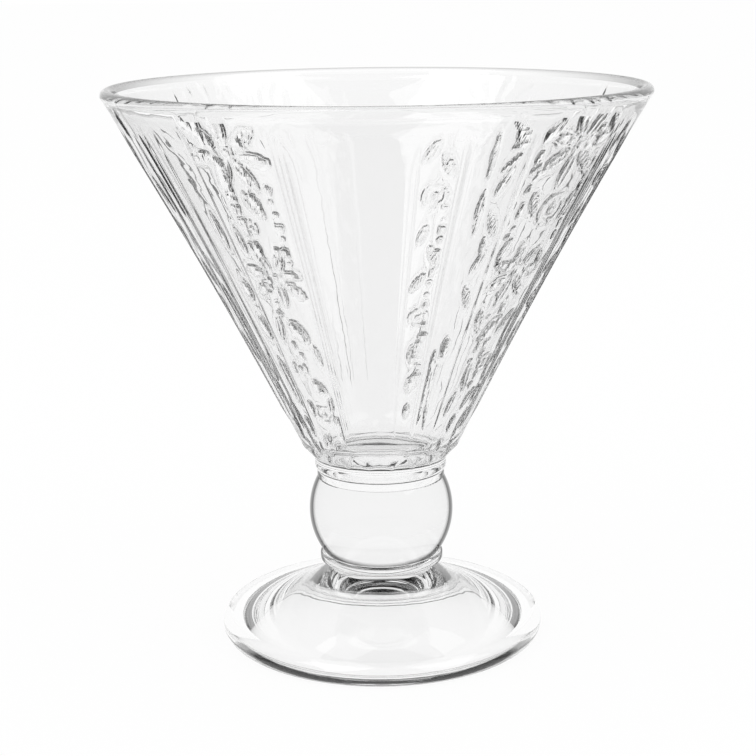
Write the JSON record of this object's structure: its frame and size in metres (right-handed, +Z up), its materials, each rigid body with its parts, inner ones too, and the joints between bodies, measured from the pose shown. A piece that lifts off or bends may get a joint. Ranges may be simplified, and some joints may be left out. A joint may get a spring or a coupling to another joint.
{
  "type": "parfait glass",
  "caption": "Clear pressed-glass dessert goblet: a wide conical bowl with moulded panels and ribs, on a ball knop between two collars, and a domed round foot.",
  "frame": {"origin": "on the table under the middle of the foot, on the glass's axis", "axes": "+Z up along the axis of the glass, -Y towards the front that the picture shows, +X to its right"},
  "size_m": [0.114, 0.114, 0.12],
  "materials": {
    "foot_glass": "fire-polished clear pressed glass",
    "collar_glass": "fire-polished clear pressed glass",
    "knop_glass": "fire-polished clear pressed glass",
    "bowl_glass": "clear pressed glass with moulded relief"
  },
  "bodies": {
    "root": {"foot": "foot_glass", "lower_collar": "collar_glass", "ball_knop": "knop_glass", "upper_collar": "collar_glass", "bowl": "bowl_glass"}
  },
  "joints": []
}
